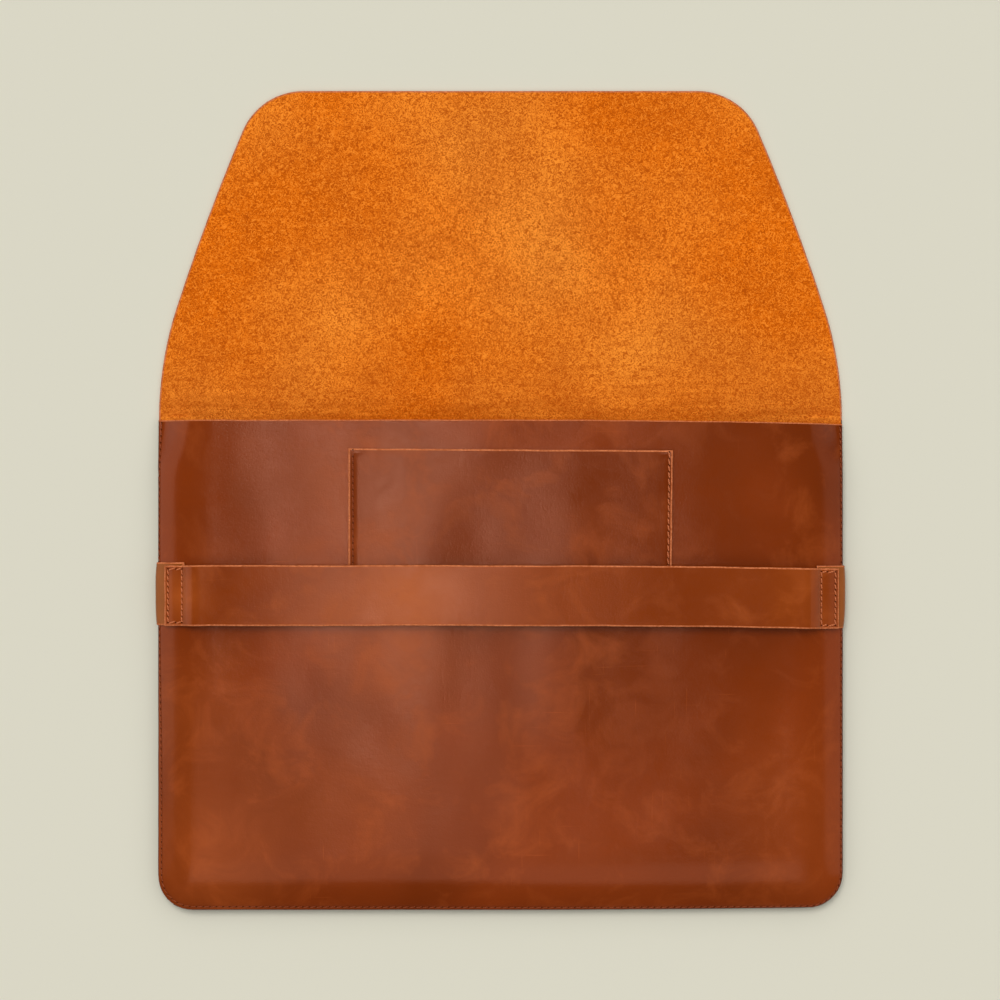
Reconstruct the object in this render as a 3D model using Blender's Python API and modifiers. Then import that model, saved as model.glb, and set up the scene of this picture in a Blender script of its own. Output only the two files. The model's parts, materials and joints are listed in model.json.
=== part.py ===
"""Leather laptop sleeve, lying open on its back: body, front pocket, closing strap and folding flap.

Metres. X runs across the sleeve, +Y from the closed bottom to the mouth and the flap, +Z from the
back panel to the front panel. The origin is the centre of the body on its back face.
The back panel, the fold strip and the flap are one hide, bent at two crease lines.
"""

import math

import bmesh
import bpy
from mathutils import Vector

# Leather, thread and the play between pieces
LEATHER = 0.0018  # back, front, flap and strap
POCKET_LEATHER = 0.0014
TAB_LEATHER = 0.0014
THREAD = 0.0005  # diameter
PLAY = 0.0003  # between pieces that touch
CREASE_PLAY = 0.0003  # left clear on each side of a crease line

# Body outline
BODY_WIDTH = 0.340
BODY_HEIGHT = 0.243
CORNER_RADIUS = 0.017

# Compartment and the seam that closes it on three sides
CAVITY = 0.0118  # clear height, for a thin 13-inch laptop
SEAM_FLANGE = 0.004  # where the two panels lie face to face
SEAM_MARGIN = 0.016  # from the outline to where the panels lie flat
SEAM_LIFT = 0.0045  # of the stitched rim above the table
LIFT_FADE = 0.030  # length below the mouth over which the rim comes down
SEAM_INSET = 0.0017  # of the stitch line
BACK_THREAD_END = 0.012  # below the mouth, where the rim nears the table

# Flap
FLAP_LENGTH = 0.1633  # beyond the mouth, lying open
SHOULDER_RADIUS = 0.180  # where the sides leave the body's width
SHOULDER_ANGLE = math.radians(18)
TIP_ANGLE = math.radians(23)  # of the side where the tip corner starts
TIP_RADIUS = 0.033

# Front pocket, open towards the mouth
POCKET_WIDTH = 0.160
POCKET_CENTRE_X = 0.005
POCKET_BELOW_MOUTH = 0.015
POCKET_UNDER_STRAP = 0.0245  # from the strap's upper edge to the pocket's bottom
POCKET_SLACK = 0.0005  # between the pocket and the front panel
POCKET_STITCH_INSET = 0.002

# Closing strap and the two tabs that carry it round the sides
STRAP_WIDTH = 0.030
STRAP_BELOW_MOUTH = 0.0717  # to the strap's upper edge
STRAP_END_INSET = 0.0032  # from the outline to the strap's end
STRAP_REST_INSET = 0.014  # from the outline to where it leaves the tab
STRAP_LIFT_LENGTH = 0.006  # over which it rises to its free span
TAB_WIDTH = 0.0312
TAB_SHOW = 0.0015  # of the tab above the strap's upper edge
TAB_FRONT_INSET = 0.0146
TAB_BACK_INSET = 0.008
TAB_BEND = 0.0015  # inner radius round the rim's two corners
BOX_OUTER_INSET = 0.0045  # box stitches, from the outline
BOX_INNER_INSET = 0.0121
BOX_END_INSET = 0.0016  # box stitches, from the strap's long edges

# How finely curved stretches are divided
CORNER_STEPS = 6
MARGIN_STEPS = 6
FADE_STEPS = 4
SHOULDER_STEPS = 5
SIDE_STEPS = 3
TIP_STEPS = 8
FLAT_STEPS = 3
BEND_STEPS = 3

# Worked out from the sizes above
HALF_WIDTH = BODY_WIDTH / 2
MOUTH_Y = BODY_HEIGHT / 2
BOTTOM_Y = -BODY_HEIGHT / 2
FRONT_TOP = LEATHER + CAVITY + LEATHER
RIM_TOP = LEATHER + PLAY + LEATHER  # of the seam above the lifted rim's underside
POCKET_FACE = FRONT_TOP + POCKET_SLACK + POCKET_LEATHER
FLAP_LEVEL = POCKET_FACE + PLAY + THREAD + PLAY  # inner face of the closed flap
STRAP_LEVEL = FLAP_LEVEL + LEATHER + PLAY  # inner face of the strap's free span
FOLD_LENGTH = FLAP_LEVEL - LEATHER
TAB_CLEAR = PLAY + THREAD + PLAY  # the tab passes over the seam's thread
STRAP_CLEAR = TAB_CLEAR + TAB_LEATHER + PLAY
STRAP_TOP_Y = MOUTH_Y - STRAP_BELOW_MOUTH
STRAP_BOTTOM_Y = STRAP_TOP_Y - STRAP_WIDTH
TAB_TOP_Y = STRAP_TOP_Y + TAB_SHOW
TAB_BOTTOM_Y = TAB_TOP_Y - TAB_WIDTH
POCKET_LEFT_X = POCKET_CENTRE_X - POCKET_WIDTH / 2
POCKET_TOP_Y = MOUTH_Y - POCKET_BELOW_MOUTH
POCKET_BOTTOM_Y = STRAP_TOP_Y - POCKET_UNDER_STRAP
FOLD_AXIS = Vector((0, MOUTH_Y, LEATHER))
FLAP_AXIS = Vector((0, MOUTH_Y + FOLD_LENGTH, LEATHER))


def smooth(t):
    """0 to 1 with a level start and end."""
    t = min(max(t, 0), 1)
    return t * t * (3 - 2 * t)


def evenly(start, end, steps):
    """The steps values after start, up to end."""
    return [start + (end - start) * k / steps for k in range(1, steps + 1)]


def edge_distance(x, y):
    """How far a point lies inside the body's outline. The mouth isn't an edge here."""
    across = HALF_WIDTH - abs(x)
    up = y - BOTTOM_Y
    if across < CORNER_RADIUS and up < CORNER_RADIUS:
        return CORNER_RADIUS - math.hypot(CORNER_RADIUS - across, CORNER_RADIUS - up)
    return min(across, up)


def opened(inset):
    """0 on the seam's flange and 1 where the panels lie flat."""
    return smooth((inset - SEAM_FLANGE) / (SEAM_MARGIN - SEAM_FLANGE))


def lift(y):
    """Height of the rim's underside above the table."""
    return SEAM_LIFT * smooth((MOUTH_Y - y) / LIFT_FADE)


def back_height(inset, y):
    """Inner face of the back panel."""
    return LEATHER + lift(y) * (1 - opened(inset))


def front_height(inset, y):
    """Outer face of the front panel."""
    rim = lift(y) + RIM_TOP
    return rim + (FRONT_TOP - rim) * opened(inset)


def body_half_width(y):
    """Half of the body's width at y, with its rounded bottom corners."""
    up = y - BOTTOM_Y
    if up >= CORNER_RADIUS:
        return HALF_WIDTH
    return HALF_WIDTH - CORNER_RADIUS + math.sqrt(CORNER_RADIUS**2 - (CORNER_RADIUS - up) ** 2)


def flap_outline():
    """(distance beyond the mouth, half width) along the flap's side: shoulder, side and tip arcs."""
    side_length = (
        FLAP_LENGTH
        - SHOULDER_RADIUS * math.sin(SHOULDER_ANGLE)
        - TIP_RADIUS * (1 - math.sin(TIP_ANGLE))
    )
    side_radius = side_length / (math.sin(TIP_ANGLE) - math.sin(SHOULDER_ANGLE))
    arcs = [
        (SHOULDER_RADIUS, 0, SHOULDER_ANGLE, SHOULDER_STEPS),
        (side_radius, SHOULDER_ANGLE, TIP_ANGLE, SIDE_STEPS),
        (TIP_RADIUS, TIP_ANGLE, math.pi / 2, TIP_STEPS),
    ]
    outline = [(0, HALF_WIDTH)]
    for radius, start, end, steps in arcs:
        far, wide = outline[-1]
        for angle in evenly(start, end, steps):
            ahead = radius * (math.sin(angle) - math.sin(start))
            inward = radius * (math.cos(start) - math.cos(angle))
            outline.append((far + ahead, wide - inward))
    return outline


def flap_half_width(distance):
    """Half of the flap's width at a distance beyond the mouth."""
    outline = flap_outline()
    for (near, wide), (far, narrow) in zip(outline, outline[1:]):
        if distance <= far:
            return wide + (narrow - wide) * (distance - near) / (far - near)
    return outline[-1][1]


def material(name, colour, roughness):
    """A plain Principled material."""
    made = bpy.data.materials.new(name)
    made.use_nodes = True
    shader = made.node_tree.nodes["Principled BSDF"]
    shader.inputs["Base Color"].default_value = (*colour, 1)
    shader.inputs["Roughness"].default_value = roughness
    shader.inputs["Metallic"].default_value = 0
    return made


def finish_object(made, collection, finish, parent):
    """Puts a new object in the collection, under its parent, with its material."""
    made.data.materials.append(finish)
    collection.objects.link(made)
    made.parent = parent
    return made


def hinge(name, collection, place, parent=None):
    """An empty on a crease line. Pieces under it hold their vertices relative to it."""
    made = bpy.data.objects.new(name, None)
    made.location = place - (parent.location if parent else Vector())
    made.parent = parent
    collection.objects.link(made)
    return made


def sheet(name, columns, rows, place, thickness, outward):
    """A grid of columns by rows set out by place(column, row) and thickened.

    With outward 1 the leather is added on the side the faces look to, with -1 behind them."""
    mesh = bpy.data.meshes.new(name)
    grid = bmesh.new()
    bmesh.ops.create_grid(grid, x_segments=len(columns) - 1, y_segments=len(rows) - 1, size=1)
    for vertex in grid.verts:
        column = round((vertex.co.x + 1) / 2 * (len(columns) - 1))
        row = round((vertex.co.y + 1) / 2 * (len(rows) - 1))
        vertex.co = place(columns[column], rows[row])
    grid.normal_update()
    grid.to_mesh(mesh)
    grid.free()
    made = bpy.data.objects.new(name, mesh)
    thicken = made.modifiers.new("leather", "SOLIDIFY")
    thicken.thickness = thickness
    thicken.offset = outward
    thicken.use_even_offset = True
    return made


def thread(name, points):
    """A thin round thread through the points."""
    curve = bpy.data.curves.new(name, "CURVE")
    curve.dimensions = "3D"
    curve.bevel_depth = THREAD / 2
    curve.bevel_resolution = 1
    curve.use_fill_caps = True
    spline = curve.splines.new("POLY")
    spline.points.add(len(points) - 1)
    for target, point in zip(spline.points, points):
        target.co = (*point, 1)
    return bpy.data.objects.new(name, curve)


def body_columns():
    """Places across a panel as shares of its half width, closest together on the seam's margin."""
    insets = [0, SEAM_FLANGE]
    insets += evenly(SEAM_FLANGE, SEAM_MARGIN, MARGIN_STEPS)
    insets += evenly(SEAM_MARGIN, HALF_WIDTH, FLAT_STEPS)
    right = [1 - inset / HALF_WIDTH for inset in insets]
    return [-share for share in right[:-1]] + right[::-1]


def body_rows(top):
    """Places along a panel, closest together at the bottom corners and below the mouth."""
    arc = [
        BOTTOM_Y + CORNER_RADIUS * (1 - math.cos(k / CORNER_STEPS * math.pi / 2))
        for k in range(CORNER_STEPS + 1)
    ]
    fade = MOUTH_Y - LIFT_FADE
    return arc + evenly(arc[-1], fade, FLAT_STEPS) + evenly(fade, top, FADE_STEPS)


def body_panel(name, top, height):
    """A panel of the body that follows height(inset, y), thickened downwards."""

    def place(share, y):
        x = share * body_half_width(y)
        return Vector((x, y, height(edge_distance(x, y), y)))

    return sheet(name, body_columns(), body_rows(top), place, LEATHER, -1)


def hide_stretch(name, start, end, origin):
    """The flat stretch of the hide between two distances beyond the mouth."""
    inside = [d for d, _ in flap_outline() if start < d < end]
    columns = evenly(-1 - 1 / FLAT_STEPS, 1, 2 * FLAT_STEPS + 1)

    def place(share, distance):
        point = Vector((share * flap_half_width(distance), MOUTH_Y + distance, LEATHER))
        return point - origin

    return sheet(name, columns, [start, *inside, end], place, LEATHER, -1)


def pocket_panel(name):
    """A flat patch on the front panel."""

    def place(x, y):
        return Vector((x, y, FRONT_TOP + POCKET_SLACK))

    right_x = POCKET_LEFT_X + POCKET_WIDTH
    columns = [POCKET_LEFT_X, *evenly(POCKET_LEFT_X, right_x, FLAT_STEPS)]
    rows = [POCKET_BOTTOM_Y, *evenly(POCKET_BOTTOM_Y, POCKET_TOP_Y, FLAT_STEPS)]
    return sheet(name, columns, rows, place, POCKET_LEATHER, 1)


def raised(inset, clear):
    """(x, z) of the right side at this inset and height clear of the front panel's outer face."""
    step = PLAY
    y = STRAP_TOP_Y
    slope = (front_height(inset + step, y) - front_height(inset - step, y)) / (2 * step)
    length = math.hypot(1, slope)
    x = HALF_WIDTH - inset + clear * slope / length
    return x, front_height(inset, y) + clear / length


def tab_profile():
    """(x, z) of the right tab's inner face, from its end under the rim round to its front end."""
    under = SEAM_LIFT - TAB_CLEAR
    over = SEAM_LIFT + RIM_TOP + TAB_CLEAR
    side = HALF_WIDTH + PLAY
    profile = []
    for inset in [TAB_BACK_INSET, *evenly(TAB_BACK_INSET, SEAM_FLANGE, BEND_STEPS)]:
        below = back_height(inset, STRAP_TOP_Y) - LEATHER - TAB_CLEAR
        profile.append((HALF_WIDTH - inset, below))
    for centre_z, first in ((under + TAB_BEND, -math.pi / 2), (over - TAB_BEND, 0)):
        for angle in [first, *evenly(first, first + math.pi / 2, BEND_STEPS)]:
            x = side - TAB_BEND + TAB_BEND * math.cos(angle)
            profile.append((x, centre_z + TAB_BEND * math.sin(angle)))
    for inset in [SEAM_FLANGE, *evenly(SEAM_FLANGE, TAB_FRONT_INSET, MARGIN_STEPS)]:
        profile.append(raised(inset, TAB_CLEAR))
    return profile


def strap_profile():
    """(x, z) of the strap's inner face on the right half, from its end to the middle."""
    profile = []
    for inset in [STRAP_END_INSET, *evenly(STRAP_END_INSET, STRAP_REST_INSET, MARGIN_STEPS)]:
        profile.append(raised(inset, STRAP_CLEAR))
    leave_x, leave_z = profile[-1]
    for share in evenly(0, 1, BEND_STEPS + 1):
        rise = (STRAP_LEVEL - leave_z) * smooth(share)
        profile.append((leave_x - STRAP_LIFT_LENGTH * share, leave_z + rise))
    flat_x = profile[-1][0]
    profile += [(x, STRAP_LEVEL) for x in evenly(flat_x, 0, FLAT_STEPS)]
    return profile


def strap_panel(name):
    """The strap from end to end."""
    right = strap_profile()
    left = [(-x, z) for x, z in right[:-1]]

    def place(point, y):
        return Vector((point[0], y, point[1]))

    return sheet(name, left + right[::-1], [STRAP_BOTTOM_Y, STRAP_TOP_Y], place, LEATHER, 1)


def tab_panel(name, side):
    """The tab on one side, 1 for the right and -1 for the left."""

    def place(point, y):
        return Vector((side * point[0], y, point[1]))

    rows = [TAB_BOTTOM_Y, TAB_TOP_Y]
    return sheet(name, tab_profile(), rows, place, TAB_LEATHER, -side)


def seam_path(height, top):
    """The seam line: down the left side, along the bottom and up the right side."""
    radius = CORNER_RADIUS - SEAM_INSET
    straight = BOTTOM_Y + CORNER_RADIUS
    fade = MOUTH_Y - LIFT_FADE
    right = []
    for k in range(CORNER_STEPS + 1):
        angle = -math.pi / 2 + k / CORNER_STEPS * math.pi / 2
        x = HALF_WIDTH - CORNER_RADIUS + radius * math.cos(angle)
        right.append((x, straight + radius * math.sin(angle)))
    side = HALF_WIDTH - SEAM_INSET
    right += [(side, y) for y in (fade, *evenly(fade, top, FADE_STEPS))]
    left = [(-x, y) for x, y in right]
    return [Vector((x, y, height(y))) for x, y in left[::-1] + right]


def pocket_path():
    """The pocket's stitch line: down one side, under the strap and up the other side."""
    left = POCKET_LEFT_X + POCKET_STITCH_INSET
    right = POCKET_LEFT_X + POCKET_WIDTH - POCKET_STITCH_INSET
    top = POCKET_TOP_Y - POCKET_STITCH_INSET
    bottom = POCKET_BOTTOM_Y + POCKET_STITCH_INSET
    z = POCKET_FACE + PLAY + THREAD / 2
    corners = [(left, top), (left, bottom), (right, bottom), (right, top)]
    return [Vector((x, y, z)) for x, y in corners]


def box_path(side):
    """The box of stitches that holds one end of the strap. Its two ends stop a thread apart."""
    clear = STRAP_CLEAR + LEATHER + PLAY + THREAD / 2
    outer_to_inner = [BOX_OUTER_INSET, *evenly(BOX_OUTER_INSET, BOX_INNER_INSET, MARGIN_STEPS)]
    across = [raised(inset, clear) for inset in outer_to_inner]
    low = STRAP_BOTTOM_Y + BOX_END_INSET
    high = STRAP_TOP_Y - BOX_END_INSET
    path = [(x, low, z) for x, z in across] + [(x, high, z) for x, z in across[::-1]]
    outer_x, outer_z = across[0]
    path.append((outer_x, low + THREAD, outer_z))
    return [Vector((side * x, y, z)) for x, y, z in path]


def box_back_path(side):
    """Where the outer row of the box comes through under the rim, on the tab's back end."""
    x = side * (HALF_WIDTH - BOX_OUTER_INSET)
    face = back_height(BOX_OUTER_INSET, STRAP_TOP_Y) - LEATHER - TAB_CLEAR - TAB_LEATHER
    z = face - PLAY - THREAD / 2
    low = STRAP_BOTTOM_Y + BOX_END_INSET
    high = STRAP_TOP_Y - BOX_END_INSET
    return [Vector((x, low, z)), Vector((x, high, z))]


def front_thread_height(y):
    """Centre of the seam's thread on the front panel."""
    return lift(y) + RIM_TOP + PLAY + THREAD / 2


def back_thread_height(y):
    """Centre of the seam's thread under the back panel's rim."""
    return lift(y) - PLAY - THREAD / 2


def main():
    for old in list(bpy.data.objects):
        bpy.data.objects.remove(old)
    collection = bpy.data.collections.new("laptop_sleeve")
    bpy.context.scene.collection.children.link(collection)

    hide = material("cognac_leather", (0.24, 0.047, 0.010), 0.42)
    hide_inside = material("suede_flesh_side", (0.73, 0.16, 0.012), 0.9)
    strap_leather = material("strap_leather", (0.27, 0.055, 0.011), 0.4)
    pocket_leather = material("pocket_leather", (0.23, 0.045, 0.010), 0.42)
    tab_leather = material("tab_leather", (0.34, 0.08, 0.014), 0.55)
    cotton = material("tan_thread", (0.42, 0.13, 0.045), 0.8)

    fold = hinge("fold_crease", collection, FOLD_AXIS)
    flap = hinge("flap_crease", collection, FLAP_AXIS, fold)

    def add(made, finish, parent=None):
        return finish_object(made, collection, finish, parent)

    add(body_panel("back_panel", MOUTH_Y - CREASE_PLAY, back_height), hide)
    add(body_panel("front_panel", MOUTH_Y - PLAY, front_height), hide)
    fold_end = FOLD_LENGTH - CREASE_PLAY
    add(hide_stretch("fold_strip", CREASE_PLAY, fold_end, FOLD_AXIS), hide_inside, fold)
    flap_start = FOLD_LENGTH + CREASE_PLAY
    add(hide_stretch("flap_panel", flap_start, FLAP_LENGTH, FLAP_AXIS), hide_inside, flap)
    add(pocket_panel("pocket_panel"), pocket_leather)
    add(strap_panel("front_strap"), strap_leather)
    add(thread("seam_thread_front", seam_path(front_thread_height, MOUTH_Y - SEAM_INSET)), cotton)
    back_top = MOUTH_Y - BACK_THREAD_END
    add(thread("seam_thread_back", seam_path(back_thread_height, back_top)), cotton)
    add(thread("pocket_thread", pocket_path()), cotton)
    for name, side in (("left", -1), ("right", 1)):
        add(tab_panel(f"strap_tab_{name}", side), tab_leather)
        add(thread(f"strap_thread_{name}", box_path(side)), cotton)
        add(thread(f"strap_thread_back_{name}", box_back_path(side)), cotton)


main()
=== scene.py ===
"""Looks of a leather laptop sleeve that lies open on its back on a pale table.

Every leather piece is cut flat to its outline, given its thickness and rounded cut edges, and then
laid on its own surface in the sleeve. Lengths are in metres.
"""

import json
import math
import random

import bmesh
import bpy
import numpy as np
from mathutils import Matrix, Vector, noise


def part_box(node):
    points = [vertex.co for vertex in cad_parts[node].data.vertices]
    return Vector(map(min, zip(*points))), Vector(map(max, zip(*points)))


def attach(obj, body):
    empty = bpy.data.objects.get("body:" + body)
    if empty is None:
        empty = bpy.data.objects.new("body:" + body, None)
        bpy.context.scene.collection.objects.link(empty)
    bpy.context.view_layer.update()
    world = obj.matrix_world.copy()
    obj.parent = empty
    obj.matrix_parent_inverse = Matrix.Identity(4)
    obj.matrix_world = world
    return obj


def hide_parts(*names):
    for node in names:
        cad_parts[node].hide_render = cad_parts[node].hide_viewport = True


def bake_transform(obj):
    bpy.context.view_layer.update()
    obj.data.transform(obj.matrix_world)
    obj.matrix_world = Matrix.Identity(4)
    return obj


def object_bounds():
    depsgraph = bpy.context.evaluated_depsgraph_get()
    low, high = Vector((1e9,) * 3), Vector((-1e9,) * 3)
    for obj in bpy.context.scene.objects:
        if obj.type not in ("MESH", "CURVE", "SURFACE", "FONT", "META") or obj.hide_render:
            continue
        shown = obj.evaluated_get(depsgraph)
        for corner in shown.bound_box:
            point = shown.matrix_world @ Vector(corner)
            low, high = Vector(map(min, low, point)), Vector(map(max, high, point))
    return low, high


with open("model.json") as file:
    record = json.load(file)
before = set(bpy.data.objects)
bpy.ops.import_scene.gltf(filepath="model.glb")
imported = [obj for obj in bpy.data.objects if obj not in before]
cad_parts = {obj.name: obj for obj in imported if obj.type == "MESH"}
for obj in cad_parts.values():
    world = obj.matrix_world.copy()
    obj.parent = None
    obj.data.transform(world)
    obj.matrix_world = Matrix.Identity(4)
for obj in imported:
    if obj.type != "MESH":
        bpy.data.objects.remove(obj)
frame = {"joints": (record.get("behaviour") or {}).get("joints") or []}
cad_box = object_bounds()

# Sizes taken from the frame
creases = {joint["name"]: Vector(joint["pos_m"]) for joint in frame["joints"]}
FOLD_AXIS = creases["fold_crease"]
FLAP_AXIS = creases["flap_crease"]
body_low, body_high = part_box("front_panel")
flap_low, flap_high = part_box("flap_panel")
pocket_low, pocket_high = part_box("pocket_panel")
strap_low, strap_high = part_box("front_strap")
tab_low, tab_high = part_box("strap_tab_right")
HALF_WIDTH = body_high.x
BOTTOM_Y = body_low.y
MOUTH_Y = body_high.y
CREASE_Y = FOLD_AXIS.y
TIP_Y = flap_high.y
FRONT_TOP = body_high.z
LEATHER = flap_high.z - flap_low.z
POCKET_LEATHER = pocket_high.z - pocket_low.z
STRAP_LEVEL = strap_high.z - LEATHER  # inner face of the strap's free span
MIDDLE_FOLD = (FOLD_AXIS.y + FLAP_AXIS.y) / 2 - CREASE_Y  # where the hide's two pieces meet
FLAP_LENGTH = TIP_Y - CREASE_Y

# The body's outline, and the rim where front and back are sewn together
CORNER_RADIUS = 0.017
SEAM_FLANGE = 0.004  # lies flat at the mouth only
MOUTH_RIM = 0.0039  # height of the front's skin at the rim beside the mouth
LIFTED_RIM = 0.0071  # and further down, where the rim is pulled up off the table
LIFT_FADE = 0.030
SLOPE_REACH = 0.028  # from the outline to where the front lies level
SLOPE_POWER = 2.5
SLOPE_CORNER_POWER = 3.5  # how square the level part's corners are
BACK_REACH = 0.020
BACK_FLAT = 0.003  # the back follows the front up to here
SEAM_PLAY = 0.0003
FLANGE_SOFTNESS = 0.0016
BACK_SEAM_END = 0.012  # below the mouth, where the rim comes down to the table
RIM_TUCK = 0.0011  # how far the back's edge lies inside the front's
SHOULDER_RADIUS = 0.180
SHOULDER_ANGLE = math.radians(18)
TIP_ANGLE = math.radians(23)
TIP_RADIUS = 0.033

# Tabs and the strap's sewn ends
TAB_LEATHER = 0.0014
TAB_CLEAR = 0.00025
TAB_BACK_INSET = 0.008
TAB_FRONT_INSET = 0.0144
TAB_BEND = 0.0022
TAB_OVERHANG = 0.0009  # beyond the body at the middle of the tab
TAB_BOW = 0.0007
PROFILE_STEP = 0.0005  # between points of the strap's and the tabs' lines across the rim
STRAP_CLEAR = TAB_CLEAR + TAB_LEATHER + 0.00015
STRAP_END_INSET = 0.0042
STRAP_REST_INSET = 0.0140
STRAP_LIFT_LENGTH = 0.008
STRAP_LIFT_POWER = 2.2
STRAP_SHIFT = 0.0006  # to the right
BOX_OUTER_INSET = 0.0062
BOX_INNER_INSET = 0.0139
BOX_END_INSET = 0.0018

# How the hand-cut pieces stray from square, and how the leather waves
EDGE_STRAY = 0.00012
RIM_STRAY = 0.00006
STRAP_STRAY = 0.00016
STRAP_SWAY = 0.00035
STRAP_WAVE = 0.0004
SAG_DEPTH = 0.0011
SAG_LENGTH = 0.062
RIPPLE_DEPTH = 0.00022
RIPPLE_LENGTH = 0.024
MOUTH_RISE = 0.0001
MOUTH_DIP_LEFT = 0.0001
MOUTH_DIP_RIGHT = 0.0020
MOUTH_DIP_REACH = 0.025
STRAP_DIP_RIGHT = 0.0020
STRAP_DIP_LEFT = 0.0004
POCKET_LEAN = 0.0006
POCKET_RISE = 0.0006
POCKET_TOP_DROP = 0.0010  # of its upper edge, from left to right
BOTTOM_RISE_RIGHT = 0.0014
SIDE_DRAW = 0.0004

# Cut edges and stitches
EDGE_ROUND = 0.00055
RAW_SHARE = 0.9  # of the rounding, as far as a raw edge shows
BURNISHED_SHARE = 0.4
THREAD_WIDTH = 0.00055
THICK_THREAD = 0.00078  # round the strap's ends and up the pocket's right side
SEAM_PITCH = 0.0033
POCKET_PITCH = 0.0033
BOX_PITCH = 0.0031
HOLE_LENGTH = 0.0010
HOLE_WIDTH = 0.0008
HOLE_RISE = 0.00009
STITCH_RUN = 16  # stitches made together, because a long mesh grows slowly
POCKET_LEFT_STITCH = 0.0023
POCKET_RIGHT_STITCH = 0.0018
GROOVE_DEPTH = 0.00018
GROOVE_WIDTH = 0.0007
CREASE_REACH = 0.0045  # how far the hide bends on each side of a crease line
CREASE_STEPS = 6

EDGE_RINGS = [0.0001, 0.00025, EDGE_ROUND, 0.0009]
SEAM_RINGS = [0.0013, 0.0017, 0.0021, 0.0026, 0.0032, SEAM_FLANGE]
MARGIN = 0.016
MARGIN_STEP = 0.0015
CELL = 0.004

# Places where the leather is paler than the rest of it, or deeper, and how much, below 0 for
# deeper: x, y, radius, share. They are partly the leather's own cloudy tone and partly painted
# highlight and painted shade.
HIDE_TONE_AND_LIGHT_PATCHES = (
    (-0.144, -0.092, 0.060, 0.75),
    (-0.150, -0.028, 0.055, 0.45),
    (-0.062, 0.085, 0.042, 0.55),
    (-0.050, 0.010, 0.050, 0.45),
    (0.150, -0.090, 0.060, 0.30),
    (-0.075, -0.062, 0.055, 0.40),
    (0.140, -0.055, 0.050, 0.25),
    (0.078, -0.032, 0.045, -0.45),
    (-0.118, 0.082, 0.062, -0.9),
    (0.095, 0.085, 0.055, -0.8),
    (0.090, 0.005, 0.050, -0.6),
)
# Paler and deeper places on the strap, in the same columns: partly the strap's own tone and partly
# painted highlight and painted shade.
STRAP_TONE_AND_LIGHT_PATCHES = (
    (-0.155, 0.034, 0.022, 0.9),
    (-0.045, 0.034, 0.040, 0.8),
    (0.150, 0.034, 0.030, 0.5),
    (0.085, 0.034, 0.040, -0.5),
)


# ---------------------------------------------------------------- shapes


def smooth(t):
    """0 to 1 with a level start and end."""
    t = min(max(t, 0), 1)
    return t * t * (3 - 2 * t)


def evenly(start, end, step):
    """Values from start to end, about step apart, both ends included."""
    count = max(1, round(abs(end - start) / step))
    return [start + (end - start) * k / count for k in range(count + 1)]


def soft_noise(x, y, wavelength, seed):
    """Smooth noise over the leather, between about -1 and 1."""
    return noise.noise(Vector((x / wavelength, y / wavelength, seed)))


def body_inset(x, y):
    """How far a point lies inside the stitched outline. The mouth isn't part of it."""
    across = HALF_WIDTH - abs(x)
    up = y - BOTTOM_Y
    if across < CORNER_RADIUS and up < CORNER_RADIUS:
        return CORNER_RADIUS - math.hypot(CORNER_RADIUS - across, CORNER_RADIUS - up)
    return min(across, up)


def slope_inset(x, y):
    """As body_inset, but with rounder corners away from the outline."""
    sewn = body_inset(x, y)
    across = max(0, SLOPE_REACH - HALF_WIDTH + abs(x)) / SLOPE_REACH
    up = max(0, SLOPE_REACH - y + BOTTOM_Y) / SLOPE_REACH
    power = SLOPE_CORNER_POWER
    rounded = SLOPE_REACH * (1 - (across**power + up**power) ** (1 / power))
    return sewn + (rounded - sewn) * smooth((sewn - 0.001) / 0.012)


def lifted(y):
    """0 beside the mouth and 1 further down, where the rim is off the table."""
    return smooth((CREASE_Y - y) / LIFT_FADE)


def front_rise(inset, y):
    """Outer face of the front panel's slope, and how steep it is."""
    rim = MOUTH_RIM + (LIFTED_RIM - MOUTH_RIM) * lifted(y)
    flange = SEAM_FLANGE * (1 - lifted(y))
    past = inset - flange
    eased = math.hypot(past, FLANGE_SOFTNESS * (1 - lifted(y)) + 1e-9)
    share = min((past + eased) / 2 / (SLOPE_REACH - flange), 1)
    left = (FRONT_TOP - rim) * (1 - share) ** SLOPE_POWER
    steep = 0
    if share < 1:
        steep = left * SLOPE_POWER / (1 - share) / (SLOPE_REACH - flange)
        steep *= (1 + past / eased) / 2
    return FRONT_TOP - left, steep


def back_height(x, y):
    """Inner face of the hide."""
    if y > CREASE_Y:
        return LEATHER
    inset = slope_inset(x, y)
    skin, steep = front_rise(inset, y)
    sewn = skin - (LEATHER + SEAM_PLAY) * math.hypot(1, steep)
    share = 1 - smooth((inset - BACK_FLAT) / (BACK_REACH - BACK_FLAT))
    return LEATHER + (sewn - LEATHER) * share


def sag(x, y):
    """The front lies in long shallow waves, mostly from the mouth down. None at the seam."""
    long_waves = SAG_DEPTH * (soft_noise(x + 0.013, y * 0.35, SAG_LENGTH, 2.3) - 0.6)
    short_waves = RIPPLE_DEPTH * soft_noise(x, y * 0.7, RIPPLE_LENGTH, 7.1)
    return (long_waves + short_waves) * smooth((body_inset(x, y) - 0.006) / 0.030)


def front_height(x, y):
    """Outer face of the front panel."""
    return front_rise(slope_inset(x, y), y)[0] + sag(x, y)


def pocket_height(x, y):
    """Outer face of the pocket, which follows the front panel."""
    return pocket_high.z + sag(x, y)


def dip(x, left, right):
    """How far an edge that should be straight across dips towards the bottom at x."""
    return (right if x > 0 else left) * (x / HALF_WIDTH) ** 2


def wander(x, y, seed, reach=EDGE_STRAY):
    """How a hand-cut edge strays, in x and y."""
    return (
        reach * soft_noise(x, y, 0.013, seed) + reach * 0.5 * soft_noise(x, y, 0.0045, seed),
        reach * soft_noise(y, x, 0.015, seed + 5) + reach * 0.5 * soft_noise(y, x, 0.005, seed + 9),
    )


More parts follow.
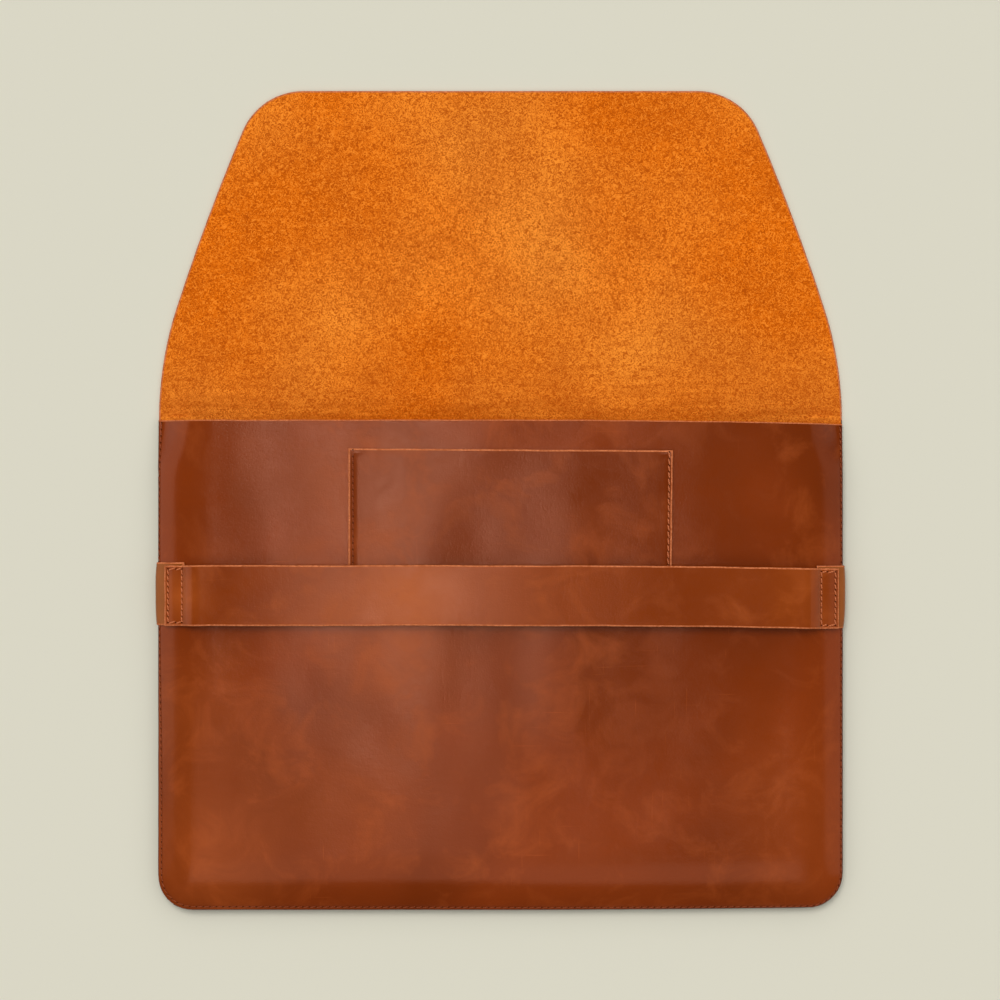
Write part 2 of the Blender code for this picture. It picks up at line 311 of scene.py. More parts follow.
def body_drift(x, y):
    """The body draws in a little as it is filled, and isn't square at its right bottom corner."""
    share = smooth((0.02 - y) / 0.14)
    stray = wander(x, y, 3.7, RIM_STRAY)
    drawn_in = x * SIDE_DRAW / HALF_WIDTH
    raised_corner = BOTTOM_RISE_RIGHT * share * (max(x, 0) / HALF_WIDTH) ** 2
    return x + stray[0] - drawn_in, y + stray[1] + raised_corner


def back_drift(x, y):
    """As body_drift, and the back's edge is tucked under the front's."""
    sewn = body_inset(x, y)
    tuck = RIM_TUCK * lifted(y) * (1 - smooth(sewn / 0.008))
    x, y = body_drift(x, y)
    across = HALF_WIDTH - abs(x)
    if across < y - BOTTOM_Y:
        return x - math.copysign(tuck, x), y
    return x, y + tuck


def front_drift(x, y):
    """The front panel also has an uneven mouth."""
    near_mouth = smooth((y - MOUTH_Y + MOUTH_DIP_REACH) / MOUTH_DIP_REACH)
    stray = wander(x, y, 8.2)
    x, y = body_drift(x, y)
    return x, y + near_mouth * (MOUTH_RISE + stray[1] - dip(x, MOUTH_DIP_LEFT, MOUTH_DIP_RIGHT))


def pocket_drift(x, y):
    """The pocket leans a little, and narrows towards the strap on its right."""
    stray = wander(x, y, 11.4)
    down = (pocket_high.y - y) / (pocket_high.y - strap_high.y)
    lean = POCKET_LEAN * down * smooth((x - pocket_low.x) / (pocket_high.x - pocket_low.x))
    drop = POCKET_TOP_DROP * (x - pocket_low.x) / (pocket_high.x - pocket_low.x)
    return x + stray[0] - lean, y + stray[1] - drop + POCKET_RISE


def laid(height, drift):
    """A surface as a function of a flat place: its point and its normal, upwards."""

    def face(x, y):
        step = 0.0001
        here = height(x, y)
        slope_x = (height(x + step, y) - here) / step
        slope_y = (height(x, y + step) - here) / step
        point = Vector((*drift(x, y), here))
        return point, Vector((-slope_x, -slope_y, 1)).normalized()

    return face


def rim_profile(side, points):
    """A surface that follows a line of (x, z) points, as a function of the length along it and y."""
    line = np.array(points)
    steps = np.linalg.norm(np.diff(line, axis=0), axis=1)
    along = np.concatenate([[0], np.cumsum(steps)])

    def spot(s):
        return np.interp(s, along, line[:, 0]), np.interp(s, along, line[:, 1])

    def face(s, y):
        step = 0.0002
        x, z = spot(s)
        behind = spot(s - step)
        ahead = spot(s + step)
        run = Vector((ahead[0] - behind[0], 0, ahead[1] - behind[1])).normalized()
        normal = Vector((run.z, 0, -run.x))
        return Vector((side * x, y, z)), Vector((side * normal.x, 0, normal.z))

    return face, along[-1]


STRAP_MIDDLE = (strap_low.y + strap_high.y) / 2


def raised(inset, clear):
    """(x, z) on the right side at this inset, a clear height off the front panel's outer face."""
    z, steep = front_rise(inset, STRAP_MIDDLE)
    length = math.hypot(1, steep)
    return HALF_WIDTH - inset + clear * steep / length, z + clear / length


def tab_points():
    """(x, z) of the right tab's inner face, from its end under the rim round to its front end."""
    turn = math.atan(front_rise(0, STRAP_MIDDLE)[1])
    across = HALF_WIDTH + TAB_OVERHANG - TAB_LEATHER - TAB_BEND
    foot_inset = HALF_WIDTH - across - TAB_BEND * math.sin(turn)
    skin = front_rise(foot_inset, STRAP_MIDDLE)[0] + TAB_CLEAR
    up = skin - TAB_BEND * math.cos(turn)
    points = []
    for inset in evenly(TAB_BACK_INSET, SEAM_FLANGE + PROFILE_STEP, PROFILE_STEP):
        below = back_height(HALF_WIDTH - inset, STRAP_MIDDLE) - LEATHER - 2 * TAB_CLEAR
        points.append((HALF_WIDTH - inset, below))
    lowest = up - TAB_BEND
    for angle in evenly(-100, 90 - math.degrees(turn), 10):
        x = across + TAB_BEND * math.cos(math.radians(angle))
        z = up + (TAB_BEND if angle > 0 else up - lowest) * math.sin(math.radians(angle))
        points.append((x, z))
    last = HALF_WIDTH - points[-1][0]
    insets = evenly(last + 0.0004, TAB_FRONT_INSET, PROFILE_STEP)
    return points + [raised(inset, TAB_CLEAR) for inset in insets]


def bowed(face, side):
    """The tab's outer edge is pulled in towards its two ends."""
    half = (tab_high.y - tab_low.y) / 2
    middle = (tab_high.y + tab_low.y) / 2

    def bent(s, y):
        point, normal = face(s, y)
        pull = TAB_BOW * min(abs(y - middle) / half, 1.1) ** 3
        share = smooth((abs(point.x) - HALF_WIDTH + 0.006) / 0.006)
        stray = wander(s, y, 17 + side)
        return point + Vector((stray[0] - side * pull * share, stray[1], 0)), normal

    return bent


def strap_half():
    """(x, z) of the strap's inner face on the right half, from its end to the middle."""
    points = [
        raised(inset, STRAP_CLEAR) for inset in evenly(STRAP_END_INSET, STRAP_REST_INSET, PROFILE_STEP)
    ]
    leave_x, leave_z = points[-1]
    for share in evenly(0, 1, 0.1)[1:]:
        rise = (STRAP_LEVEL - leave_z) * (1 - (1 - share) ** STRAP_LIFT_POWER)
        points.append((leave_x - STRAP_LIFT_LENGTH * share, leave_z + rise))
    return points


STRAP_LINE = np.array(strap_half()[::-1])


def strap_height(x, y):
    """Inner face of the strap over a place on the body."""
    free = smooth((STRAP_LINE[0][0] - abs(x)) / 0.02)
    wave = STRAP_WAVE * free * (1 + soft_noise(x, y * 0.3, 0.048, 4.4))
    return float(np.interp(abs(x), STRAP_LINE[:, 0], STRAP_LINE[:, 1])) + wave


def strap_drift(x, y):
    """The strap is sewn on a little askew."""
    stray = wander(x, y, 14.9, STRAP_STRAY)
    slow = STRAP_SWAY * soft_noise(x, 0, 0.06, 21.5)
    shift = STRAP_SHIFT * smooth((abs(x) - 0.1) / 0.06)
    return x + stray[0] + shift, y + stray[1] + slow - dip(x, STRAP_DIP_LEFT, STRAP_DIP_RIGHT)


# ---------------------------------------------------------------- cutting and laying leather


def round_corner(centre_x, centre_y, start, end, step=7.5):
    """Points of a body corner's arc. Angles in degrees."""
    return [
        Vector(
            (
                centre_x + CORNER_RADIUS * math.cos(math.radians(a)),
                centre_y + CORNER_RADIUS * math.sin(math.radians(a)),
                0,
            )
        )
        for a in evenly(start, end, step)
    ]


def body_bottom():
    """The body's outline below the mouth, from the left side round to the right."""
    inner = HALF_WIDTH - CORNER_RADIUS
    up = BOTTOM_Y + CORNER_RADIUS
    return round_corner(-inner, up, 180, 270) + round_corner(inner, up, 270, 360)


def flap_side():
    """The right side of the flap, from the crease to the tip: shoulder, side and corner arcs."""
    corner = TIP_RADIUS * (1 - math.sin(TIP_ANGLE))
    side_length = FLAP_LENGTH - SHOULDER_RADIUS * math.sin(SHOULDER_ANGLE) - corner
    side_radius = side_length / (math.sin(TIP_ANGLE) - math.sin(SHOULDER_ANGLE))
    arcs = [
        (SHOULDER_RADIUS, 0, SHOULDER_ANGLE, 9),
        (side_radius, SHOULDER_ANGLE, TIP_ANGLE, 6),
        (TIP_RADIUS, TIP_ANGLE, math.pi / 2, 16),
    ]
    points = [Vector((HALF_WIDTH, CREASE_Y, 0))]
    for radius, start, end, steps in arcs:
        corner_point = points[-1].copy()
        for k in range(1, steps + 1):
            angle = start + (end - start) * k / steps
            inward = radius * (math.cos(start) - math.cos(angle))
            ahead = radius * (math.sin(angle) - math.sin(start))
            points.append(corner_point + Vector((-inward, ahead, 0)))
    return points


def hide_outline():
    """Back panel and flap, cut as one."""
    side = flap_side()
    mirrored = [Vector((-p.x, p.y, 0)) for p in side]
    return body_bottom() + side + mirrored[::-1]


def rectangle(low_x, low_y, high_x, high_y):
    corners = ((low_x, low_y), (high_x, low_y), (high_x, high_y), (low_x, high_y))
    return [Vector((x, y, 0)) for x, y in corners]


def slice_across(cut, place, direction, **cleared):
    """Cuts every face along a straight line. clear_outer drops what lies ahead of the line, and
    clear_inner what lies behind it."""
    everything = cut.verts[:] + cut.edges[:] + cut.faces[:]
    bmesh.ops.bisect_plane(
        cut, geom=everything, dist=1e-6, plane_co=place, plane_no=direction, **cleared
    )


def cut_out(outline, rings, columns, rows):
    """A flat piece with rings of faces along its edge and cells inside."""
    cut = bmesh.new()
    face = cut.faces.new([cut.verts.new(point) for point in outline])
    reached = 0
    for inset in rings:
        bmesh.ops.inset_region(
            cut, faces=[face], thickness=inset - reached, use_even_offset=True, use_boundary=True
        )
        reached = inset
    for x in columns:
        slice_across(cut, (x, 0, 0), (1, 0, 0))
    for y in rows:
        slice_across(cut, (0, y, 0), (0, 1, 0))
    return cut


def outline_distance(places, outline):
    """How far each flat place is from the outline."""
    corners = np.array([(p.x, p.y) for p in outline])
    nearest = np.full(len(places), np.inf)
    for start, end in zip(corners, np.roll(corners, -1, axis=0)):
        run = end - start
        share = np.clip(((places - start) @ run) / (run @ run), 0, 1)
        gap = np.linalg.norm(places - start - share[:, None] * run, axis=1)
        nearest = np.minimum(nearest, gap)
    return nearest


def edge_drop(inset):
    """How far a face falls away at a rounded cut edge."""
    if inset >= EDGE_ROUND:
        return 0
    return EDGE_ROUND - math.sqrt(EDGE_ROUND**2 - (EDGE_ROUND - inset) ** 2)


def lay_leather(
    name,
    cut,
    outline,
    face,
    thickness,
    middle,
    finishes,
    pressed=None,
    burnished=None,
):
    """Gives a flat cut its thickness and lays it on a face. middle is the height of its middle
    off that face. finishes are those of the upper side, the lower side, a raw cut edge and a
    burnished one, and burnished says where the edge is that."""
    cut_area = sum(part.calc_area() for part in cut.faces)
    bmesh.ops.solidify(cut, geom=cut.faces[:], thickness=1)
    cut.verts.ensure_lookup_table()
    flat = np.array([vertex.co for vertex in cut.verts])
    upper = flat[:, 2] > (flat[:, 2].max() + flat[:, 2].min()) / 2
    insets = outline_distance(flat[:, :2], outline)
    for part in cut.faces:
        sides = {bool(upper[v.index]) for v in part.verts}
        inner = min(insets[v.index] for v in part.verts)
        outer = max(insets[v.index] for v in part.verts)
        part.smooth = True
        place = part.calc_center_median()
        dark_edge = bool(burnished and burnished(place.x, place.y))
        if len(sides) == 2 and outer > EDGE_ROUND:
            keep_sharp(part)  # the end where the hide is divided
        elif len(sides) == 2 or inner < EDGE_ROUND * (BURNISHED_SHARE if dark_edge else RAW_SHARE):
            part.material_index = 3 if dark_edge else 2
        else:
            part.material_index = 0 if sides.pop() else 1
    for vertex, is_upper, inset in zip(cut.verts, upper, insets):
        x, y = vertex.co.x, vertex.co.y
        point, normal = face(x, y)
        half = thickness / 2 - edge_drop(inset)
        if is_upper and pressed:
            half -= pressed(x, y, inset)
        vertex.co = point + normal * (middle + (half if is_upper else -half))
    bmesh.ops.recalc_face_normals(cut, faces=cut.faces[:])
    mesh = bpy.data.meshes.new(name)
    cut.to_mesh(mesh)
    cut.free()
    for finish in finishes:
        mesh.materials.append(finish)
    piece = bpy.data.objects.new(name, mesh)
    bpy.context.scene.collection.objects.link(piece)
    return piece


def keep_sharp(part):
    """Shades a face on its own, apart from its neighbours."""
    part.smooth = False
    for edge in part.edges:
        edge.smooth = False


def groove(inset, line):
    """The dent that a line of stitches pulls into the leather."""
    return GROOVE_DEPTH * math.exp(-(((inset - line) / GROOVE_WIDTH) ** 2))


# ---------------------------------------------------------------- stitches


def walk(path, pitch):
    """Places about a pitch apart along a flat path, both ends included."""
    line = np.array(path, float)
    along = np.concatenate([[0], np.cumsum(np.linalg.norm(np.diff(line, axis=0), axis=1))])
    marks = evenly(0, along[-1], pitch)
    return [(np.interp(m, along, line[:, 0]), np.interp(m, along, line[:, 1])) for m in marks]


def frame_on(face, here, there, height):
    """A matrix in the middle between two places on a face, its X along the way and its Z up."""
    start, up = face(*here)
    end, _ = face(*there)
    run = (end - start).normalized()
    across = up.cross(run).normalized()
    up = run.cross(across)
    turned = Matrix((run, across, up)).transposed().to_4x4()
    return Matrix.Translation((start + end) / 2 + up * height) @ turned, (end - start).length


def oval(cut, place, size, around, along, finish):
    """A small oval body. finish is its place among the piece's materials."""
    before = len(cut.faces)
    matrix = place @ Matrix.Diagonal((*size, 1)) @ LENGTHWISE
    bmesh.ops.create_uvsphere(
        cut, u_segments=around, v_segments=along, radius=1, matrix=matrix
    )
    cut.faces.ensure_lookup_table()
    for part in cut.faces[before:]:
        part.material_index = finish
        part.smooth = True


def sew(name, face, paths, pitch, height, slant, finishes, seed, width=THREAD_WIDTH):
    """One mesh of separate stitches along the paths, with a dark oval of painted shade for the needle
    hole at each end of each.
    height is that of the thread's middle off the face."""
    chance = random.Random(seed)
    steps = []
    for path in paths:
        places = walk(path, pitch)
        steps += list(zip(places, [*places[1:], None], [places[0], *places]))
    stitched = bmesh.new()
    run = bpy.data.meshes.new(f"{name}_run")
    for first in range(0, len(steps), STITCH_RUN):
        cut = bmesh.new()
        for here, there, before in steps[first : first + STITCH_RUN]:
            if there:
                place, length = frame_on(face, here, there, height)
                turn = Matrix.Rotation(slant + chance.uniform(-0.06, 0.06), 4, "Z")
                swell = width * chance.uniform(0.42, 0.5)
                oval(cut, place @ turn, (length * 0.5, width / 2, swell), 6, 8, 0)
            hole, _ = frame_on(face, before, there or here, 0)
            hole.translation = face(*here)[0]
            # each hole is a dark oval of painted shade on the face
            oval(cut, hole, (HOLE_LENGTH / 2, HOLE_WIDTH / 2, HOLE_RISE), 8, 4, 1)
        cut.to_mesh(run)
        cut.free()
        stitched.from_mesh(run)
    mesh = bpy.data.meshes.new(name)
    stitched.to_mesh(mesh)
    stitched.free()
    bpy.data.meshes.remove(run)
    for finish in finishes:
        mesh.materials.append(finish)
    piece = bpy.data.objects.new(name, mesh)
    bpy.context.scene.collection.objects.link(piece)
    return piece


LENGTHWISE = Matrix.Rotation(math.pi / 2, 4, "Y")  # a sphere's poles along the stitch


# ---------------------------------------------------------------- materials


class Finish:
    """A material built node by node."""

    def __init__(self, name):
        self.material = bpy.data.materials.new(name)
        self.material.use_nodes = True
        self.tree = self.material.node_tree
        self.shader = self.tree.nodes["Principled BSDF"]
        self.places = self.add("ShaderNodeTexCoord").outputs["Object"]

    def add(self, kind, inputs=None, **settings):
        made = self.tree.nodes.new(kind)
        for key, value in settings.items():
            setattr(made, key, value)
        for key, value in (inputs or {}).items():
            self.set(made.inputs[key], value)
        return made

    def set(self, socket, value):
        if isinstance(value, bpy.types.NodeSocket):
            self.tree.links.new(value, socket)
        else:
            socket.default_value = value

    def stretched(self, scale, turn=0):
        """The piece's own coordinates, scaled along each axis and turned."""
        inputs = {"Vector": self.places, "Scale": scale, "Rotation": (0, 0, turn)}
        return self.add("ShaderNodeMapping", inputs).outputs["Vector"]

    def noise(self, scale, detail=3, rough=0.5, warp=0, places=None):
        inputs = {
            "Vector": places or self.places,
            "Scale": scale,
            "Detail": detail,
            "Roughness": rough,
            "Distortion": warp,
        }
        return self.add("ShaderNodeTexNoise", inputs).outputs["Fac"]

    def cells(self, scale, places=None):
        inputs = {"Vector": places or self.places, "Scale": scale}
        return self.add("ShaderNodeTexVoronoi", inputs).outputs["Distance"]

    def between(self, value, low, high, to_low=0, to_high=1):
        inputs = {
            "Value": value,
            "From Min": low,
            "From Max": high,
            "To Min": to_low,
            "To Max": to_high,
        }
        return self.add("ShaderNodeMapRange", inputs).outputs["Result"]

    def sum(self, first, second, operation="ADD"):
        made = self.add("ShaderNodeMath", operation=operation)
        self.set(made.inputs[0], first)
        self.set(made.inputs[1], second)
        return made.outputs[0]

    def mix(self, share, first, second):
        made = self.add("ShaderNodeMix", data_type="RGBA")
        self.set(made.inputs["Factor"], share)
        self.set(made.inputs["A"], first)
        self.set(made.inputs["B"], second)
        return made.outputs["Result"]

    def bump(self, height, distance, strength=1, under=None):
        inputs = {"Height": height, "Distance": distance, "Strength": strength}
        if under:
            inputs["Normal"] = under
        return self.add("ShaderNodeBump", inputs).outputs["Normal"]

    def finish(self, colour, roughness, normal, **plain):
        self.set(self.shader.inputs["Base Color"], colour)
        self.set(self.shader.inputs["Roughness"], roughness)
        self.set(self.shader.inputs["Normal"], normal)
        for key, value in plain.items():
            self.shader.inputs[key.replace("_", " ")].default_value = value
        return self.material


def rgb(red, green, blue):
    """A colour written as on a screen, made linear."""

    def linear(shade):
        if shade > 10:
            return ((shade / 255 + 0.055) / 1.055) ** 2.4
        return shade / 255 / 12.92

    return linear(red), linear(green), linear(blue), 1


def grain_leather(name, deep, warm, light, seed, patches=()):
    """Waxed pull-up leather: cloudy colour, paler and deeper patches that are partly its own tone and
    partly painted highlight and painted shade, fine pores and creases, and a few rubbed scratches."""
    made = Finish(name)
    shifted = made.add(
        "ShaderNodeMapping", {"Vector": made.places, "Location": (seed, seed * 2, 0)}
    ).outputs["Vector"]
    broad = made.noise(9, 3, 0.5, 0.4, shifted)
    cloud = made.noise(42, 5, 0.6, 0.6, shifted)
    fleck = made.noise(520, 3, 0.6, 0, shifted)
    tone = made.mix(made.between(broad, 0.40, 0.64), deep, warm)
    tone = made.mix(made.between(cloud, 0.50, 0.76, 0, 0.5), tone, light)
    tone = made.mix(made.between(fleck, 0.4, 0.65, 0, 0.12), tone, deep)
    # Paler and deeper patches: partly the leather's own tone, partly painted highlight and painted
    # shade
    for x, y, radius, pale in patches:
        from_middle = made.add("ShaderNodeVectorMath", operation="DISTANCE")
        made.set(from_middle.inputs[0], made.places)
        from_middle.inputs[1].default_value = (x, y, FRONT_TOP)
        share = made.add(
            "ShaderNodeMapRange",
            {"Value": from_middle.outputs["Value"], "From Max": radius, "To Min": 1, "To Max": 0},
            interpolation_type="SMOOTHSTEP",
        ).outputs["Result"]
        uneven = made.sum(share, made.between(cloud, 0.35, 0.65, 0.6, 1.0), "MULTIPLY")
        target = light if pale > 0 else deep
        tone = made.mix(made.sum(uneven, abs(pale), "MULTIPLY"), tone, target)
    patchy = made.noise(30, 2, 0.5, 0, shifted)
    for turn, stretch in ((0.2, (24, 1300, 24)), (1.5, (1500, 40, 40))):
        lines = made.noise(1, 2, 0.5, 0, made.stretched(stretch, turn))
        mask = made.sum(
            made.between(lines, 0.70, 0.75), made.between(patchy, 0.56, 0.62), "MULTIPLY"
        )
        tone = made.mix(made.sum(mask, 0.4, "MULTIPLY"), tone, light)
    pores = made.between(made.cells(900, shifted), 0.0, 0.5)
    creases = made.noise(260, 5, 0.62, 0.5, shifted)
    wrinkles = made.noise(1, 4, 0.6, 0.8, made.stretched((60, 260, 60)))
    relief = made.bump(wrinkles, 0.00015, 0.22)
    relief = made.bump(creases, 0.00008, 0.32, relief)
    relief = made.bump(pores, 0.00003, 0.5, relief)
    gloss = made.between(made.sum(cloud, made.sum(creases, 0.4, "MULTIPLY")), 0.5, 0.9, 0.15, 0.24)
    return made.finish(
        tone, gloss, relief, Specular_IOR_Level=0.5, Specular_Tint=(1.0, 0.50, 0.34, 1)
    )


def suede(name, dark, mid, light):
    """The hide's flesh side: short worm-like nap, clouded, darker towards the crease."""
    made = Finish(name)
    nap = made.noise(640, 2, 0.55, 2.0)
    fine = made.noise(1900, 2, 0.6, 0.5)
    cloud = made.noise(22, 5, 0.66, 0.5)
    broad = made.noise(7, 2, 0.5)
    patches = made.noise(90, 4, 0.7, 0.8)
    along = made.add("ShaderNodeSeparateXYZ", {"Vector": made.places}).outputs["Y"]
    # Darker in streaks over the 50 mm beyond the crease
    near = made.between(along, CREASE_Y, CREASE_Y + 0.050, 1, 0)
    streaks = made.noise(1, 4, 0.65, 0.4, made.stretched((26, 330, 26)))
    darker_near_crease = made.sum(near, made.between(streaks, 0.36, 0.66, 0.2, 1.0), "MULTIPLY")
    tone = made.mix(made.between(broad, 0.40, 0.62), mid, light)
    tone = made.mix(made.between(cloud, 0.40, 0.66, 0.35, 0), tone, dark)
    tone = made.mix(made.between(nap, 0.38, 0.55, 0.8, 0), tone, dark)
    tone = made.mix(made.between(nap, 0.52, 0.66, 0, 0.6), tone, light)
    tone = made.mix(made.between(patches, 0.60, 0.72, 0, 0.35), tone, dark)
    tone = made.mix(made.sum(darker_near_crease, 0.55, "MULTIPLY"), tone, dark)
    relief = made.bump(nap, 0.00025, 0.8)
    relief = made.bump(fine, 0.00006, 0.5, relief)
    rough = made.between(cloud, 0.3, 0.7, 0.85, 0.95)
    return made.finish(tone, rough, relief, Specular_IOR_Level=0.08)


def raw_edge(name, dark, light):
    """The fibrous cut edge."""
    made = Finish(name)
    fibres = made.noise(900, 4, 0.7, 0.6)
    patches = made.noise(130, 3, 0.6)
    tone = made.mix(made.between(fibres, 0.35, 0.65), dark, light)
    tone = made.mix(made.between(patches, 0.45, 0.75, 0, 0.5), tone, dark)
    return made.finish(tone, 0.85, made.bump(fibres, 0.00012, 0.8), Specular_IOR_Level=0.15)


def burnished_edge(name, dark, light):
    """The rim's edge, waxed and rubbed dark."""
    made = Finish(name)
    layers = made.noise(1, 3, 0.6, 0.5, made.stretched((200, 200, 1500)))
    patches = made.noise(80, 3, 0.6)
    tone = made.mix(made.between(layers, 0.35, 0.65), dark, light)
    tone = made.mix(made.between(patches, 0.45, 0.7, 0, 0.5), tone, dark)
    return made.finish(tone, 0.5, made.bump(layers, 0.00008, 0.6), Specular_IOR_Level=0.3)


def sewing_thread(name, dark, light):
    """Waxed thread, its twist as a fine slanting wave."""
    made = Finish(name)
    twist = made.add(
        "ShaderNodeTexWave",
        {"Vector": made.places, "Scale": 620, "Distortion": 1.5, "Detail": 1},
        bands_direction="DIAGONAL",
    ).outputs["Fac"]
    tone = made.mix(made.between(twist, 0.2, 0.9), dark, light)
    return made.finish(tone, 0.6, made.bump(twist, 0.00006, 0.6), Specular_IOR_Level=0.3)


# A dark oval of painted shade standing in for the shadow inside each stitch hole.
def needle_hole_painted_shade(name):
    made = Finish(name)
    tone = made.mix(made.noise(800), rgb(58, 18, 3), rgb(92, 34, 8))
    return made.finish(tone, 0.9, made.bump(made.noise(1500), 0.00003), Specular_IOR_Level=0.0)


def table_top(name, colour):
    made = Finish(name)
    weave = made.noise(900, 2)
    tone = made.mix(made.between(weave, 0, 1, 0, 0.01), colour, rgb(205, 202, 186))
    return made.finish(tone, 0.95, made.bump(weave, 0.00001, 0.1), Specular_IOR_Level=0.0)


# ---------------------------------------------------------------- the sleeve's pieces


def core_lines(low, high, inner):
    """Cell lines between two limits, kept off the rings along the edges."""
    return evenly(low + inner, high - inner, CELL)


def make_hide(grain, flesh, edge, burnt):
    """Back panel, fold and flap. The hide is cut as one and divided in the middle of the fold."""
    outline = hide_outline()
    margin = evenly(SEAM_FLANGE, MARGIN, MARGIN_STEP * 1.5)[1:]
    rings = EDGE_RINGS + SEAM_RINGS + margin
    bend = [
        y
        for crease in (FOLD_AXIS.y, FLAP_AXIS.y)
        for y in evenly(crease - CREASE_REACH, crease + CREASE_REACH, CREASE_REACH / CREASE_STEPS)
    ]
    below = evenly(BOTTOM_Y + CORNER_RADIUS, FOLD_AXIS.y - CREASE_REACH, CELL)[:-1]
    beyond = evenly(FLAP_AXIS.y + CREASE_REACH, TIP_Y - CORNER_RADIUS, CELL)[1:]
    columns = core_lines(-HALF_WIDTH, HALF_WIDTH, CORNER_RADIUS)
    rows = below + bend + [CREASE_Y + MIDDLE_FOLD] + beyond
    face = laid(back_height, back_drift)

    def one_side(name, keep_flap):
        cut = cut_out(outline, rings, columns, rows)
        middle = (0, CREASE_Y + MIDDLE_FOLD, 0)
        slice_across(cut, middle, (0, 1, 0), clear_inner=keep_flap, clear_outer=not keep_flap)
        return lay_leather(
            name,
            cut,
            outline,
            face,
            LEATHER,
            -LEATHER / 2,
            (flesh, grain, edge, burnt),
            burnished=lambda x, y: y < CREASE_Y,
        )

    back = one_side("back_and_fold", False)
    flap = one_side("flap", True)
    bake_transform(back)
    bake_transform(flap)
    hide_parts("back_panel", "fold_strip")
    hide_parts("flap_panel")
    return back, flap


def seam_inset(x, y):
    """How far the seam wanders from the rim as seen from above."""
    left = np.interp(
        y,
        [-0.120, -0.050, 0.010, 0.060, 0.095, 0.112, MOUTH_Y],
        [0.0020, 0.0018, 0.0009, 0.0007, 0.0008, 0.0012, 0.0017],
    )
    right = np.interp(y, [-0.120, 0.060, MOUTH_Y], [0.0010, 0.0008, 0.0011])
    return float(left + (right - left) * (x / HALF_WIDTH + 1) / 2)


def make_front(grain, flesh, edge, burnt):
    tall = [Vector((HALF_WIDTH, MOUTH_Y + 0.05, 0)), Vector((-HALF_WIDTH, MOUTH_Y + 0.05, 0))]
    nip = 0.0008
    corner = [Vector((HALF_WIDTH, MOUTH_Y - nip, 0)), Vector((HALF_WIDTH - nip, MOUTH_Y, 0))]
    outline = body_bottom() + corner + [Vector((-p.x, p.y, 0)) for p in corner[::-1]]
    rings = EDGE_RINGS + SEAM_RINGS + evenly(SEAM_FLANGE, MARGIN, MARGIN_STEP)[1:]
    columns = core_lines(-HALF_WIDTH, HALF_WIDTH, CORNER_RADIUS)
    rows = evenly(BOTTOM_Y + CORNER_RADIUS, MOUTH_Y - 0.004, CELL)
    rows += [MOUTH_Y - inset for inset in [*EDGE_RINGS, 0.0018]]
    cut = cut_out(body_bottom() + tall, rings, columns, rows)
    slice_across(cut, (0, MOUTH_Y, 0), (0, 1, 0), clear_outer=True)

    def pressed(x, y, inset):
        return groove(body_inset(x, y), seam_inset(x, y))

    piece = lay_leather(
        "front_panel_leather",
        cut,
        outline,
        laid(front_height, front_drift),
        LEATHER,
        -LEATHER / 2,
        (grain, flesh, edge, burnt),
        pressed,
        lambda x, y: y < MOUTH_Y - 0.0005 and abs(x) > 0.160 or y < 0,
    )
    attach(piece, "sleeve")
    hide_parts("front_panel")
    return piece


def make_pocket(grain, flesh, edge):
    outline = rectangle(pocket_low.x, pocket_low.y, pocket_high.x, pocket_high.y)
    rings = [*EDGE_RINGS, 0.0014, 0.0018, 0.0023, 0.0028, 0.0036, 0.005]
    columns = core_lines(pocket_low.x, pocket_high.x, 0.0075)
    rows = core_lines(pocket_low.y, pocket_high.y, 0.0075)

    def pressed(x, y, inset):
        left = groove(x - pocket_low.x, POCKET_LEFT_STITCH)
        right = groove(pocket_high.x - x, POCKET_RIGHT_STITCH)
        return left + right

    cut = cut_out(outline, rings, columns, rows)
    piece = lay_leather(
        "pocket_leather",
        cut,
        outline,
        laid(pocket_height, pocket_drift),
        POCKET_LEATHER,
        -POCKET_LEATHER / 2,
        (grain, flesh, edge),
        pressed,
    )
    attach(piece, "sleeve")
    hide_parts("pocket_panel")
    return piece


def make_strap(grain, flesh, edge):
    low_y, high_y = strap_low.y, strap_high.y
    end = HALF_WIDTH - STRAP_END_INSET
    outline = rectangle(-end, low_y, end, high_y)
    bend = evenly(HALF_WIDTH - 0.038, end - 0.003, 0.001)
    columns = [-x for x in bend[::-1]] + evenly(-bend[0], bend[0], CELL)[1:-1] + bend
    rows = core_lines(low_y, high_y, 0.004)
    cut = cut_out(outline, [*EDGE_RINGS, 0.0014, 0.0018, 0.0024], columns, rows)

    def pressed(x, y, inset):
        across = HALF_WIDTH - abs(x)
        return groove(across, BOX_OUTER_INSET) + groove(across, BOX_INNER_INSET)

    piece = lay_leather(
        "strap_leather",
        cut,
        outline,
        laid(strap_height, strap_drift),
        LEATHER,
        LEATHER / 2,
        (grain, flesh, edge),
        pressed,
    )
    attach(piece, "sleeve")
    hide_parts("front_strap")
    return piece


def tab_face(side):
    face, length = rim_profile(side, tab_points())
    return bowed(face, side), length


def make_tab(name, side, grain, flesh, edge):
    face, length = tab_face(side)
    shift = dip(side * HALF_WIDTH, STRAP_DIP_LEFT, STRAP_DIP_RIGHT)
    outline = rectangle(0, tab_low.y - shift, length, tab_high.y - shift)
    columns = evenly(0.0015, length - 0.0015, 0.0005)
    rows = core_lines(tab_low.y - shift, tab_high.y - shift, 0.003)
    cut = cut_out(outline, EDGE_RINGS, columns, rows)
    piece = lay_leather(
        name,
        cut,
        outline,
        face,
        TAB_LEATHER,
        TAB_LEATHER / 2,
        (grain, flesh, edge),
    )
    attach(piece, "sleeve")
    return piece


